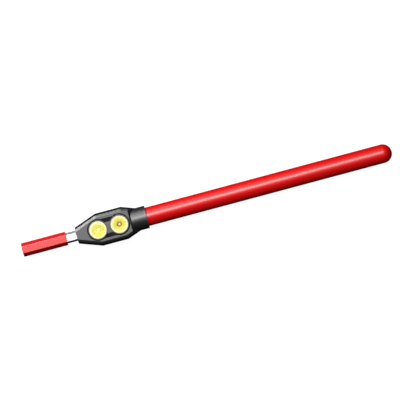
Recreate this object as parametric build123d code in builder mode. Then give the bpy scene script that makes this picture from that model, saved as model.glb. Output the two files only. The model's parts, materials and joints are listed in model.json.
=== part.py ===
"""Two-handed traffic baton light: a red light wand, a black lamp housing and a red hexagonal hand grip.

Millimetres. X runs along the baton from the grip to the wand's tip, Y across it, and Z out of the two lamps.
The baton lies on its flat back: z = 0 is the resting plane, and the origin is the middle of the bounding box
on that plane. Every piece is built where it sits in the finished baton.
"""

import math
import os

from build123d import *

os.makedirs("parts", exist_ok=True)

# ---------------------------------------------------------------------------------------------------------
# Driving sizes
# ---------------------------------------------------------------------------------------------------------

# Lengths along the baton
grip_length = 96.0  # red hand grip
neck_length = 23.0  # bare bar between the grip and the housing
nose_zone = 31.0  # housing nose, up to the battery door
collar_length = 33.0  # socket for the wand, with the round collar around it
wand_length = 534.0  # tube that shows past the collar

# Wand
wand_radius = 20.0
wand_wall = 1.5
tube_seal_thickness = 1.9
spigot_step = 0.5  # the tube is this much slimmer where it sits in the collar

# Housing
wall = 2.5
nose_half_width = 17.8
face_land = 3.2  # flat left between a bezel and the front bevel
front_bevel = 4.9
front_bevel_depth = 2.6
back_bevel = 3.0
front_draft = 4.1  # how far the front shell's sides lean in between the seam and the bevel
back_draft = 2.25
shoulder_length = 29.4  # where the housing narrows to the collar
shoulder_overlap = 13.7  # how far the shoulder runs over the collar
face_end_lean = 2.0
lamp_waist = 20.8  # half the width of the recess between the lamps
seam = 0.8  # gasket between the two shells
edge_round = 1.2

# Lamps
lens_radius = 20.0
lens_thickness = 2.0
lens_crown = 0.8
lens_clearance = 0.2
skirt_wall = 1.2
bezel_lip = 0.8  # how far the bezel reaches in over the lens
bezel_flange = 1.4  # how far the bezel reaches out over the shell
bezel_gap = 0.7  # between the two bezels
bezel_proud = 1.0
recess_depth = 2.0
reflector_depth = 10.6
emitter_radius = 4.0
emitter_dome = 2.5
reflector_foot = 1.0  # ring under the reflector, clear of the star board's wires
star_radius = 10.0

# Power
cell_radius = 9.2
cell_length = 65.0
cell_gap = 0.6
contact_spring_length = 4.5
contact_plate = 0.6
door_gap = 0.3
door_ledge = 1.4  # door's overlap outside the bay
box_wall = 1.5  # walls of the battery box
hinge_radius = 1.4
pin_radius = 0.6

# Screws
shell_screw_radius = 1.5
shell_head_radius = 2.8
shell_head_z = 6.0
boss_radius = 3.2
screw_inset = 8.7  # from the seam's outline to a screw
bar_screw_radius = 2.0
bar_head_radius = 3.6
bar_head_height = 3.2
grip_screw_radius = 2.5
grip_head_radius = 4.6
board_screw_radius = 1.0
board_head_radius = 1.9

# Handle
bar_width = 22.4
bar_thickness = 12.0
bar_chamfer = 4.2
bar_insert = 30.0  # length of bar inside the housing
grip_across_flats = 25.9
grip_end = 12.0  # solid end of the grip

# Boards and electronics
board_thickness = 1.6
parts_room = 3.5  # under the driver board
standoff_height = 1.8
sink_thickness = 3.0

# Buttons
button_radius = 4.4
button_travel = 1.0
button_recess = 0.6
button_pitch = 11.8

# Fits
running = 0.05  # a pin or shaft in its hole
loose = 0.2  # a piece that drops into its seat
touch = 0.05  # two pieces that bear on each other

# ---------------------------------------------------------------------------------------------------------
# Places that follow from the driving sizes
# ---------------------------------------------------------------------------------------------------------

bay_half_width = 2 * cell_radius + cell_gap / 2 + 0.5
door_half_width = bay_half_width + door_ledge
box_half_width = door_half_width + box_wall
cell_y = cell_radius + cell_gap / 2

bezel_radius = lens_radius + lens_clearance + skirt_wall + bezel_flange
lamp_pitch = 2 * bezel_radius + bezel_gap
body_half_width = max(
    bezel_radius + face_land + front_bevel + front_draft,
    box_half_width + boss_radius + screw_inset + 0.1,
)
bay_length = cell_length + contact_spring_length + 2 * contact_plate + 4 * touch
lock_zone = 11.5  # door from its free end to the battery bay
flood_from_nose = 0.61 * bezel_radius + nose_zone + 1.5  # first lamp, whose bezel overhangs the nose zone

bay_from_nose = nose_zone + lock_zone
hinge_from_nose = bay_from_nose + bay_length + 2.8
socket_from_nose = max(hinge_from_nose + 3.0, flood_from_nose + lamp_pitch + bezel_radius + 3.5)
housing_length = socket_from_nose + collar_length
overall_length = grip_length + neck_length + housing_length + wand_length

grip_x = -overall_length / 2
neck_x = grip_x + grip_length
nose_x = neck_x + neck_length
door_x = nose_x + nose_zone
lock_x = door_x + 6.0
bay_x = nose_x + bay_from_nose
bay_end_x = bay_x + bay_length
hinge_x = nose_x + hinge_from_nose
socket_x = nose_x + socket_from_nose
collar_end_x = nose_x + housing_length
tip_x = collar_end_x + wand_length
flood_x = nose_x + flood_from_nose
spot_x = flood_x + lamp_pitch
lamps = (("flood", flood_x, 1), ("spot", spot_x, -1))

collar_radius = wand_radius + tube_seal_thickness + wall
hinge_z = hinge_radius
cell_z = wall + 0.8 + cell_radius
bay_top_z = cell_z + cell_radius + 0.3
ceiling_z = bay_top_z + box_wall
axis_z = max(collar_radius, ceiling_z + loose)
driver_z = ceiling_z + parts_room
sink_z = driver_z + board_thickness + standoff_height
star_z = sink_z + sink_thickness
bowl_z = star_z + board_thickness + reflector_foot
seal_z = bowl_z + reflector_depth
lens_z = seal_z + 1.2
bezel_top_z = lens_z + lens_thickness + 1.2
front_z = bezel_top_z - bezel_proud
recess_z = front_z - recess_depth
front_depth = front_z - axis_z

# Plan of the housing at the seam
body_start_x = flood_x + 1.2
shoulder_x = socket_x + shoulder_overlap
body_end_x = shoulder_x - shoulder_length
face_end_x = spot_x + bezel_radius + 0.8
nose_slope = (body_half_width - nose_half_width) / (body_start_x - nose_x)
shoulder_slope = (body_half_width - collar_radius) / (shoulder_x - body_end_x)


def save(piece, label):
    """Names a finished piece and writes it as its own STEP file."""
    piece.part.label = label
    export_step(piece.part, f"parts/{label}.step")


def half_width(x):
    """Half the width of the housing at the seam, at a place along it."""
    on_nose = nose_half_width + nose_slope * (x - nose_x)
    on_shoulder = body_half_width - shoulder_slope * (x - body_end_x)
    return min(on_nose, body_half_width, on_shoulder)


def cylinder_along_x(start, end, radius, y=0.0, z=None, mode=Mode.ADD):
    """Round bar or hole parallel to the baton, on its axis unless y and z say otherwise."""
    with Locations(Location((start, y, axis_z if z is None else z), (0, 90, 0))):
        Cylinder(radius, end - start, align=(Align.CENTER, Align.CENTER, Align.MIN), mode=mode)


def cylinder_along_y(start, end, radius, x, z, mode=Mode.ADD):
    """Round bar or hole across the baton."""
    with Locations(Location((x, start, z), (-90, 0, 0))):
        Cylinder(radius, end - start, align=(Align.CENTER, Align.CENTER, Align.MIN), mode=mode)


def cylinder_up(x, y, bottom, top, radius, mode=Mode.ADD):
    """Round post or hole parallel to Z."""
    with Locations((x, y, bottom)):
        Cylinder(radius, top - bottom, align=(Align.CENTER, Align.CENTER, Align.MIN), mode=mode)


def block(x_range, y_range, z_range, mode=Mode.ADD):
    """Plain box between pairs of limits."""
    ranges = (x_range, y_range, z_range)
    with Locations(tuple((low + high) / 2 for low, high in ranges)):
        Box(*(high - low for low, high in ranges), mode=mode)


def screw(x, y, head_z, tip_z, radius, head_radius, head_height):
    """Pan-head screw with a cross recess; its head bears at head_z and its shank runs to tip_z."""
    way = 1 if tip_z > head_z else -1
    cylinder_up(x, y, min(head_z, tip_z), max(head_z, tip_z), radius)
    outer_z = head_z - way * head_height
    cylinder_up(x, y, min(head_z, outer_z), max(head_z, outer_z), head_radius)
    drive = sorted((outer_z, outer_z + way * 0.6 * head_height))
    long, short = 0.6 * head_radius, 0.18 * head_radius
    block((x - long, x + long), (y - short, y + short), drive, Mode.SUBTRACT)
    block((x - short, x + short), (y - long, y + long), drive, Mode.SUBTRACT)


def coil_spring(seat, direction, mean_radius, wire_radius, length, turns):
    """Helical compression spring that stands on its seat and fills length in a direction."""
    height = length - 2 * wire_radius
    start = Vector(seat) + Vector(direction) * wire_radius
    with BuildPart() as spring:
        with BuildLine() as coil:
            Helix(pitch=height / turns, height=height, radius=mean_radius, center=start, direction=direction)
        with BuildSketch(Plane(origin=coil.line @ 0, z_dir=coil.line % 0)):
            Circle(wire_radius)
        sweep(path=coil.line, is_frenet=True)
    return spring.part


def wire(points, wire_radius, bend):
    """Insulated wire along straight runs joined by equal bends."""
    with BuildPart() as run:
        with BuildLine() as route:
            FilletPolyline(*points, radius=bend)
        with BuildSketch(Plane(origin=route.line @ 0, z_dir=route.line % 0)):
            Circle(wire_radius)
        sweep(path=route.line)
    return run.part


# ---------------------------------------------------------------------------------------------------------
# Housing: two moulded shells with a gasket between them
# ---------------------------------------------------------------------------------------------------------


def plan(inset, start_x, end_x):
    """Outline of the housing, moved in by inset on its long sides and cut off at each end."""
    nose_shift = inset * math.hypot(1, nose_slope)
    shoulder_shift = inset * math.hypot(1, shoulder_slope)
    half = (
        (start_x, nose_half_width + nose_slope * (start_x - nose_x) - nose_shift),
        (body_start_x + (nose_shift - inset) / nose_slope, body_half_width - inset),
        (body_end_x - (shoulder_shift - inset) / shoulder_slope, body_half_width - inset),
        (end_x, body_half_width - shoulder_slope * (end_x - body_end_x) - shoulder_shift),
    )
    return half + tuple((x, -y) for x, y in reversed(half))


def housing_half(way, depth, bevel, bevel_depth, draft, ends, skin):
    """Faceted half of the housing, above (way 1) or below (way -1) the seam, shrunk by skin all round."""
    bevel_angle = math.atan2(bevel_depth, bevel)
    # how far the bevel's two corners move when the wall is the same thickness all round
    side_corner = math.tan((math.pi / 2 - bevel_angle) / 2)
    face_corner = math.tan(bevel_angle / 2)
    levels = (
        (0, skin, ends[0]),
        (depth - bevel_depth - side_corner * skin, draft + skin, ends[1]),
        (depth - skin, draft + bevel + face_corner * skin, ends[2]),
    )
    with BuildPart() as half:
        for height, inset, end_x in levels:
            with BuildSketch(Plane.XY.offset(axis_z + way * height)):
                with BuildLine():
                    Polyline(*plan(inset, nose_x + skin, end_x - skin), close=True)
                make_face()
        loft(ruled=True)
        if not skin:
            round_the_bevel = [
                edge
                for edge in half.edges()
                if abs(edge.center().Z - axis_z) > 0.6 * depth and abs(edge.center().X - nose_x) > 0.1
            ]
            fillet(round_the_bevel, radius=edge_round)
    return half.part


front_ends = (shoulder_x, face_end_x + face_end_lean, face_end_x)
back_ends = (shoulder_x, shoulder_x - back_draft, shoulder_x - back_draft - back_bevel)
front_form = (1, front_depth, front_bevel, front_bevel_depth, front_draft, front_ends)
back_form = (-1, axis_z, back_bevel, back_bevel, back_draft, back_ends)
lip_x = socket_x + 2.0  # inner stop for the tube
mouth_x = collar_end_x - 2.0  # outer lip that holds the tube seal
collar_bore = wand_radius + tube_seal_thickness
spigot_radius = wand_radius - spigot_step

with BuildPart() as housing_skin:
    add(housing_half(*front_form, 0))
    add(housing_half(*back_form, 0))
    add(housing_half(*front_form, wall), mode=Mode.SUBTRACT)
    add(housing_half(*back_form, wall), mode=Mode.SUBTRACT)
    cylinder_along_x(socket_x, collar_end_x, collar_radius)
    cylinder_along_x(socket_x, lip_x, wand_radius - 3.0, mode=Mode.SUBTRACT)
    cylinder_along_x(lip_x, mouth_x, collar_bore, mode=Mode.SUBTRACT)
    cylinder_along_x(mouth_x, collar_end_x, spigot_radius + loose, mode=Mode.SUBTRACT)
    # window in the nose for the bar
    block(
        (nose_x - 1, nose_x + wall + 1),
        (-bar_width / 2 - loose, bar_width / 2 + loose),
        (axis_z - bar_thickness / 2 - loose, axis_z + bar_thickness / 2 + loose),
        Mode.SUBTRACT,
    )

# Screws that hold the shells together
screw_stations = (nose_x + 20.0, (flood_x + spot_x) / 2, spot_x + 13.3)
shell_screw_places = [
    (x, side * (half_width(x) - screw_inset)) for x in screw_stations for side in (1, -1)
]

# Screws that hold the bar up against the front shell
bar_screw_places = ((nose_x + 7.0, 0), (nose_x + 18.0, 0))

# Posts that carry the heat sink, outside each bezel's skirt
post_radius = 3.0
post_reach = bezel_radius + 2.0
post_places = [
    (lamp_x + post_reach * math.cos(math.radians(angle)), side * post_reach * math.sin(math.radians(angle)))
    for lamp_x, angle in ((flood_x, 131.6), (spot_x, 36.2))
    for side in (1, -1)
]
skirt_radius = lens_radius + lens_clearance + skirt_wall
recess_radius = bezel_radius + 0.4

# Pad under the lamps and posts for the screws, kept inside the front shell's wall
with BuildPart() as front_supports:
    with BuildSketch(Plane.XY.offset(recess_z - wall)):
        with Locations(((flood_x + spot_x) / 2, 0)):
            SlotCenterToCenter(lamp_pitch, 2 * recess_radius + 2.6)
    extrude(amount=front_z - recess_z + wall)
    for x, y in shell_screw_places:
        cylinder_up(x, y, axis_z + seam / 2, front_z, boss_radius)
    for x, y in bar_screw_places:
        cylinder_up(x, y, axis_z + bar_thickness / 2, front_z, 4.5)
    for x, y in post_places:
        cylinder_up(x, y, star_z, front_z, post_radius)
    add(housing_half(*front_form, wall / 2), mode=Mode.INTERSECT)

with BuildPart() as front_shell:
    add(housing_skin.part)
    split(bisect_by=Plane.XY.offset(axis_z + seam / 2), keep=Keep.TOP)
    add(front_supports.part)
    # recess, lamp openings and screw holes
    with BuildSketch(Plane.XY.offset(recess_z)):
        with Locations((flood_x, 0), (spot_x, 0)):
            Circle(recess_radius)
        with Locations(((flood_x + spot_x) / 2, 0)):
            Rectangle(lamp_pitch, 2 * lamp_waist)
    extrude(amount=recess_depth + 1, mode=Mode.SUBTRACT)
    for _, lamp_x, _ in lamps:
        cylinder_up(lamp_x, 0, star_z, front_z, skirt_radius + 0.1, Mode.SUBTRACT)
    for x, y in shell_screw_places:
        cylinder_up(x, y, axis_z, axis_z + 13.0, shell_screw_radius + running, Mode.SUBTRACT)
    for x, y in bar_screw_places:
        cylinder_up(x, y, axis_z, axis_z + 18.0, bar_screw_radius + running, Mode.SUBTRACT)
    for x, y in post_places:
        cylinder_up(x, y, star_z, star_z + 8.0, shell_screw_radius + running, Mode.SUBTRACT)
save(front_shell, "front_shell")

# Battery bay, lock pocket and hinge, all moulded into the back shell
box_end_x = bay_end_x + 2.8
rebate_z = wall + 0.55  # seat that the door's seal bears on
lock_reach = 8.3
pocket_z = wall + 2.7
knuckle_half = 12.0
ear_end = door_half_width + door_gap
tab_width = 5.0
button_places = (("wand", nose_x + 8.5), ("lamp", nose_x + 8.5 + button_pitch))
switch_board_z = 11.0
switch_board_half = 10.5
switch_post_places = [(nose_x + 14.4, side * 8.4) for side in (1, -1)]

with BuildPart() as back_shell:
    add(housing_skin.part)
    split(bisect_by=Plane.XY.offset(axis_z - seam / 2), keep=Keep.BOTTOM)
    block((bay_x - 1.5, box_end_x), (-box_half_width, box_half_width), (wall / 2, ceiling_z))
    block((door_x - 1.5, bay_x), (-box_half_width, box_half_width), (wall / 2, wall + 2.0))
    block((door_x - 3.8, bay_x), (-11.0, 11.0), (wall / 2, pocket_z + 1.5))
    for x, y in shell_screw_places:
        cylinder_up(x, y, wall / 2, axis_z - seam / 2, boss_radius)
    for x, y in switch_post_places:
        cylinder_up(x, y, wall / 2, switch_board_z, 1.9)
    # bay, lock pocket and door seat
    block((bay_x, bay_end_x), (-bay_half_width, bay_half_width), (-1, bay_top_z), Mode.SUBTRACT)
    block((door_x, hinge_x - 1.7), (-door_half_width - door_gap, door_half_width + door_gap), (-1, rebate_z),
          Mode.SUBTRACT)
    block((lock_x - lock_reach - 0.5, bay_x - 1.5), (-9.5, 9.5), (wall, pocket_z), Mode.SUBTRACT)
    # hinge: a slot for the door's knuckle, and an ear at each end of it
    ear_x = (hinge_x, hinge_x + hinge_radius + door_gap)
    block((hinge_x - 1.8, ear_x[1]), (-ear_end, ear_end), (-1, rebate_z), Mode.SUBTRACT)
    for side in (1, -1):
        ear = sorted((side * (knuckle_half + door_gap), side * ear_end))
        block(ear_x, ear, (0, 2 * hinge_radius))
        cylinder_along_y(*ear, hinge_radius, hinge_x, hinge_z)
    cylinder_along_y(-ear_end, ear_end, pin_radius + running / 5, hinge_x, hinge_z, Mode.SUBTRACT)
    # slots for the contact tabs
    for side in (1, -1):
        block(
            (bay_x, bay_x + contact_plate + loose),
            sorted((side * cell_y - tab_width / 2 - loose, side * cell_y + tab_width / 2 + loose)),
            (bay_top_z - 1, ceiling_z + 1),
            Mode.SUBTRACT,
        )
    for x, y in shell_screw_places:
        cylinder_up(x, y, 0, shell_head_z, shell_head_radius + 0.3, Mode.SUBTRACT)
        cylinder_up(x, y, 0, axis_z, shell_screw_radius + loose, Mode.SUBTRACT)
    for _, x in button_places:
        cylinder_up(x, 0, -1, wall, button_radius + 0.3, Mode.SUBTRACT)
    for x, y in switch_post_places:
        cylinder_up(x, y, wall + 1, switch_board_z, board_screw_radius + running, Mode.SUBTRACT)
save(back_shell, "back_shell")

with BuildPart() as shell_seal:
    with BuildSketch(Plane.XY.offset(axis_z - seam / 2)):
        with BuildLine():
            Polyline(*plan(0.4, nose_x + 0.4, shoulder_x - 0.4), close=True)
        make_face()
        with Locations(((socket_x + collar_end_x) / 2, 0)):
            Rectangle(collar_length, 2 * (collar_radius - 0.4))
        with BuildLine():
            Polyline(*plan(wall, nose_x + wall, socket_x), close=True)
        make_face(mode=Mode.SUBTRACT)
        with Locations(((socket_x + collar_end_x) / 2, 0)):
            Rectangle(collar_length + 1, 2 * (collar_bore + 0.3), mode=Mode.SUBTRACT)
        with Locations((nose_x + wall / 2, 0)):
            Rectangle(wall + 1, bar_width + 2 * loose, mode=Mode.SUBTRACT)
    extrude(amount=seam)
save(shell_seal, "shell_seal")

with BuildPart() as shell_screws:
    for x, y in shell_screw_places:
        screw(x, y, shell_head_z, axis_z + 12.0, shell_screw_radius, shell_head_radius, 2.2)
save(shell_screws, "shell_screws")

# ---------------------------------------------------------------------------------------------------------
# Handle: a chamfered aluminium bar with a hexagonal sleeve screwed onto its end
# ---------------------------------------------------------------------------------------------------------

bar_x = grip_x + grip_end
bar_end_x = nose_x + bar_insert

with BuildPart() as handle_bar:
    with BuildSketch(Plane.YZ.offset(bar_x)) as bar_section:
        with Locations((0, axis_z)):
            Rectangle(bar_width, bar_thickness)
        chamfer(bar_section.vertices(), length=bar_chamfer)
    extrude(amount=bar_end_x - bar_x)
    cylinder_along_x(bar_x, bar_x + 18.0, grip_screw_radius + running, mode=Mode.SUBTRACT)
    for x, y in bar_screw_places:
        low = axis_z - bar_thickness / 2
        cylinder_up(x, y, low, axis_z + bar_thickness, bar_screw_radius + running, Mode.SUBTRACT)
        cylinder_up(x, y, low, low + bar_head_height + loose, bar_head_radius + loose, Mode.SUBTRACT)
save(handle_bar, "handle_bar")

with BuildPart() as bar_screws:
    for x, y in bar_screw_places:
        head_z = axis_z - bar_thickness / 2 + bar_head_height + loose
        screw(x, y, head_z, axis_z + 17.0, bar_screw_radius, bar_head_radius, bar_head_height)
save(bar_screws, "bar_screws")

grip_corner_radius = grip_across_flats / math.sqrt(3)

with BuildPart() as grip_sleeve:
    with BuildSketch(Plane.YZ.offset(grip_x)):
        with Locations((0, axis_z)):
            RegularPolygon(radius=grip_corner_radius, side_count=6)
    extrude(amount=grip_length)
    chamfer(grip_sleeve.faces().sort_by(Axis.X)[0].edges(), length=1.0)
    chamfer(grip_sleeve.faces().sort_by(Axis.X)[-1].edges(), length=0.4)
    fillet(grip_sleeve.edges().filter_by(Axis.X), radius=0.6)
    with BuildSketch(Plane.YZ.offset(bar_x)) as pocket_section:
        with Locations((0, axis_z)):
            Rectangle(bar_width + 2 * running, bar_thickness + 2 * running)
        chamfer(pocket_section.vertices(), length=bar_chamfer)
    extrude(amount=grip_length - grip_end + 1, mode=Mode.SUBTRACT)
    cylinder_along_x(grip_x - 1, bar_x, grip_screw_radius + loose, mode=Mode.SUBTRACT)
    cylinder_along_x(grip_x - 1, grip_x + 5.0, grip_head_radius + loose, mode=Mode.SUBTRACT)
save(grip_sleeve, "grip_sleeve")

with BuildPart() as grip_screw:
    cylinder_along_x(grip_x + 1.6, grip_x + 5.0 - touch, grip_head_radius)
    cylinder_along_x(grip_x + 5.0 - touch, bar_x + 16.0, grip_screw_radius)
    with BuildSketch(Plane.YZ.offset(grip_x + 1.6)):
        with Locations((0, axis_z)):
            RegularPolygon(radius=2.4, side_count=6)
    extrude(amount=2.4, mode=Mode.SUBTRACT)
save(grip_screw, "grip_screw")

# ---------------------------------------------------------------------------------------------------------
# Lamps: bezel, lens, seal, reflector, emitter and star board, twice over
# ---------------------------------------------------------------------------------------------------------

bowl_rim = lens_radius - 1.2
bowl_base = emitter_radius + 0.6
bowl_wall = 1.0
bowl_bend = (bowl_rim**2 - bowl_base**2) / reflector_depth  # four times the focal length
lead_radius = 0.5
lead_y = 2.6
lead_reach = star_radius + 1.4


def bowl_point(radius, drop=0.0):
    """Point of the reflector's parabola at a radius, let down by drop."""
    return (radius, bowl_z + (radius**2 - bowl_base**2) / bowl_bend - drop)


for lamp, lamp_x, way in lamps:
    across = Plane(origin=(lamp_x, 0, 0), x_dir=(1, 0, 0), z_dir=(0, -1, 0))
    middle = Axis((lamp_x, 0, 0), (0, 0, 1))

    with BuildPart() as bezel:
        inner = lens_radius + lens_clearance
        with BuildSketch(across):
            with BuildLine():
                Polyline(
                    (lens_radius - bezel_lip, lens_z + lens_thickness + touch),
                    (lens_radius - bezel_lip, bezel_top_z - 0.3),
                    (lens_radius - bezel_lip + 0.9, bezel_top_z),
                    (bezel_radius - 1.0, bezel_top_z),
                    (bezel_radius, bezel_top_z - 1.0),
                    (bezel_radius, recess_z),
                    (skirt_radius, recess_z),
                    (skirt_radius, recess_z - 5.0),
                    (inner, recess_z - 5.0),
                    (inner, lens_z + lens_thickness + touch),
                    close=True,
                )
            make_face()
        revolve(axis=middle)
    save(bezel, f"{lamp}_bezel")

    with BuildPart() as lens:
        crown_radius = lens_radius - bezel_lip - 0.3
        top = lens_z + lens_thickness
        with BuildSketch(across):
            with BuildLine():
                Polyline((0, top + lens_crown), (0, lens_z), (lens_radius, lens_z), (lens_radius, top),
                         (crown_radius, top))
                TangentArc((0, top + lens_crown), (crown_radius, top), tangent=(1, 0))
            make_face()
        revolve(axis=middle)
    save(lens, f"{lamp}_lens")

    with BuildPart() as seal:
        cylinder_up(lamp_x, 0, seal_z + touch, lens_z - touch, lens_radius)
        cylinder_up(lamp_x, 0, seal_z, lens_z, lens_radius - 1.1, Mode.SUBTRACT)
    save(seal, f"{lamp}_seal")

    bowl_radii = [bowl_base + (bowl_rim - bowl_base) * k / 4 for k in range(5)]
    foot_z = bowl_z - reflector_foot + touch
    with BuildPart() as reflector:
        with BuildSketch(across):
            with BuildLine():
                Spline(*(bowl_point(radius) for radius in bowl_radii))
                Polyline(bowl_point(bowl_rim), (lens_radius, seal_z), (lens_radius, seal_z - bowl_wall),
                         bowl_point(bowl_rim, 1.1 * bowl_wall))
                Spline(*(bowl_point(radius, 1.1 * bowl_wall) for radius in reversed(bowl_radii)))
                Line(bowl_point(bowl_base, 1.1 * bowl_wall), bowl_point(bowl_base))
            make_face()
        revolve(axis=middle)
        cylinder_up(lamp_x, 0, foot_z, bowl_z, bowl_base + bowl_wall)
        cylinder_up(lamp_x, 0, star_z, bowl_z, bowl_base, Mode.SUBTRACT)
        cylinder_up(lamp_x, 0, star_z, foot_z, star_radius, Mode.SUBTRACT)
    save(reflector, f"{lamp}_reflector")

    with BuildPart() as emitter:
        base_z = star_z + board_thickness
        cylinder_up(lamp_x, 0, base_z, base_z + 1.2, emitter_radius)
        with Locations((lamp_x, 0, base_z + 1.2)):
            Sphere(emitter_dome, arc_size1=0, align=(Align.CENTER, Align.CENTER, Align.MIN))
    save(emitter, f"{lamp}_emitter")

    with BuildPart() as star:
        with BuildSketch(Plane.XY.offset(star_z)):
            with Locations((lamp_x, 0)):
                RegularPolygon(radius=star_radius, side_count=6)
                with PolarLocations(star_radius, 6):
                    Circle(1.6, mode=Mode.SUBTRACT)
        extrude(amount=board_thickness)
    save(star, f"{lamp}_star")

    with BuildPart() as leads:
        rise_x = lamp_x + way * lead_reach
        land_z = star_z + board_thickness + lead_radius + touch
        for side in (1, -1):
            add(
                wire(
                    (
                        (rise_x, side * lead_y, driver_z + board_thickness + touch),
                        (rise_x, side * lead_y, land_z),
                        (lamp_x + way * (star_radius - 2.6), side * lead_y, land_z),
                    ),
                    lead_radius,
                    1.2,
                )
            )
    save(leads, f"{lamp}_leads")

# ---------------------------------------------------------------------------------------------------------
# Heat sink and driver board
# ---------------------------------------------------------------------------------------------------------

driver_end_x = spot_x + 15.3
driver_half_width = 19.0
board_screw_places = [(x, y) for x in (bay_x + 5.5, driver_end_x - 6.0) for y in (15.0, -15.0)]
fin_x = (flood_x + spot_x) / 2

with BuildPart() as heat_sink:
    with BuildSketch(Plane.XY.offset(sink_z)):
        with Locations(*post_places):
            Circle(post_radius + 1.0)
        make_hull()
        with BuildLine():
            Polyline(*plan(wall + front_draft, nose_x + wall, socket_x), close=True)
        make_face(mode=Mode.INTERSECT)
    extrude(amount=sink_thickness)
    with Locations(*[(fin_x + step, 0, star_z + 3.3) for step in (-4.5, 0, 4.5)]):
        Box(1.4, 28.0, 6.6)
    for x, y in post_places:
        cylinder_up(x, y, sink_z, star_z, shell_screw_radius + loose, Mode.SUBTRACT)
    for x, y in board_screw_places:
        cylinder_up(x, y, sink_z, sink_z + 2.2, board_screw_radius + running, Mode.SUBTRACT)
    for _, lamp_x, way in lamps:
        for side in (1, -1):
            lead_hole = (lamp_x + way * lead_reach, side * lead_y)
            cylinder_up(*lead_hole, sink_z, star_z, lead_radius + 2 * loose, Mode.SUBTRACT)
save(heat_sink, "heat_sink")

with BuildPart() as heat_sink_screws:
    for x, y in post_places:
        screw(x, y, sink_z, star_z + 7.0, shell_screw_radius, shell_head_radius, 2.0)
save(heat_sink_screws, "heat_sink_screws")

with BuildPart() as driver_board:
    driver_y = (-driver_half_width, driver_half_width)
    block((bay_x, driver_end_x), driver_y, (driver_z, driver_z + board_thickness))
    for x, y in board_screw_places:
        cylinder_up(x, y, driver_z, driver_z + board_thickness, board_screw_radius + loose, Mode.SUBTRACT)
save(driver_board, "driver_board")

with BuildPart() as driver_parts:
    # two coils, a row of capacitors and two chips under the board
    for x in (bay_x + 16.0, bay_x + 48.0):
        cylinder_up(x, -10.0, driver_z - 2.4, driver_z, 4.2)
        cylinder_up(x, -10.0, driver_z - 2.6, driver_z - 2.0, 2.0)
    for k in range(5):
        cylinder_up(bay_x + 14.0 + 8.5 * k, 11.0, driver_z - 2.2, driver_z, 2.0)
    for x in (bay_x + 24.0, bay_x + 38.0):
        block((x, x + 7.0), (-3.0, 3.0), (driver_z - 1.5, driver_z))
save(driver_parts, "driver_parts")

with BuildPart() as board_standoffs:
    for x, y in board_screw_places:
        cylinder_up(x, y, driver_z + board_thickness, sink_z, 2.4)
        cylinder_up(x, y, driver_z + board_thickness, sink_z, board_screw_radius + loose, Mode.SUBTRACT)
save(board_standoffs, "board_standoffs")

with BuildPart() as board_screws:
    for x, y in board_screw_places:
        screw(x, y, driver_z, sink_z + 2.0, board_screw_radius, board_head_radius, 1.4)
save(board_screws, "board_screws")

# ---------------------------------------------------------------------------------------------------------
# Battery: two cells in series, their contacts, and the hinged door with its quarter-turn lock
# ---------------------------------------------------------------------------------------------------------

cell_start = {1: bay_x + contact_plate + contact_spring_length + 3 * touch, -1: bay_x + contact_plate + touch}

for number, side in ((1, 1), (2, -1)):
    with BuildPart() as cell:
        start = cell_start[side]
        end = start + cell_length
        body = (start, end - 1.2) if side > 0 else (start + 1.2, end)
        nub = (end - 1.3, end) if side > 0 else (start, start + 1.3)
        cylinder_along_x(*body, cell_radius, side * cell_y, cell_z)
        fillet(cell.edges().filter_by(GeomType.CIRCLE), radius=0.6)
        cylinder_along_x(*nub, 3.0, side * cell_y, cell_z)
    save(cell, f"cell_{number}")

plate_half = cell_radius - 1.5
tab_top_z = ceiling_z + 1.1
with BuildPart() as contact_plates:
    for side in (1, -1):
        middle_y = side * cell_y
        block((bay_x, bay_x + contact_plate), (middle_y - plate_half, middle_y + plate_half),
              (cell_z - 6.0, cell_z + 6.0))
        block((bay_x, bay_x + contact_plate), (middle_y - tab_width / 2, middle_y + tab_width / 2),
              (cell_z, tab_top_z))
    block((bay_end_x - contact_plate, bay_end_x), (-cell_y - plate_half, cell_y + plate_half),
          (cell_z - 6.0, cell_z + 6.0))
save(contact_plates, "contact_plates")

with BuildPart() as contact_springs:
    near_start = bay_x + contact_plate + touch
    far_start = bay_end_x - contact_plate - touch - contact_spring_length
    for side, start in ((1, near_start), (-1, far_start)):
        add(coil_spring((start, side * cell_y, cell_z), (1, 0, 0), 3.6, 0.4, contact_spring_length, 3.5))
save(contact_springs, "contact_springs")

with BuildPart() as battery_leads:
    for side in (1, -1):
        tab_x = bay_x + contact_plate / 2
        cylinder_up(tab_x, side * cell_y, tab_top_z + touch, driver_z - touch, 0.3)
save(battery_leads, "battery_leads")

door_edge_x = hinge_x - 1.7 - 0.3
lock_head_radius = 4.5
lock_shaft_radius = 2.0

with BuildPart() as battery_door:
    block((door_x + door_gap, door_edge_x), (-door_half_width, door_half_width), (0, wall))
    chamfer(battery_door.edges().group_by(Axis.Z)[0], length=0.4)
    block((door_edge_x - 0.1, hinge_x), (-knuckle_half, knuckle_half), (0.35, 2 * hinge_radius - 0.3))
    cylinder_along_y(-knuckle_half, knuckle_half, hinge_radius, hinge_x, hinge_z)
    cylinder_along_y(-knuckle_half, knuckle_half, pin_radius + running, hinge_x, hinge_z, Mode.SUBTRACT)
    # lock seat and finger ribs
    cylinder_up(lock_x, 0, 0, 1.3, lock_head_radius + loose, Mode.SUBTRACT)
    cylinder_up(lock_x, 0, 0, wall, lock_shaft_radius + running, Mode.SUBTRACT)
    for k in range(5):
        x = lock_x + 9.0 + 2.4 * k
        block((x, x + 1.0), (-10.0, 10.0), (0, 0.5), Mode.SUBTRACT)
save(battery_door, "battery_door")

with BuildPart() as door_seal:
    for margin, mode in ((1.0, Mode.ADD), (0.2, Mode.SUBTRACT)):
        reach_y = bay_half_width + margin
        block((bay_x - margin, bay_end_x + margin), (-reach_y, reach_y), (wall, rebate_z - touch), mode)
save(door_seal, "door_seal")

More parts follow.
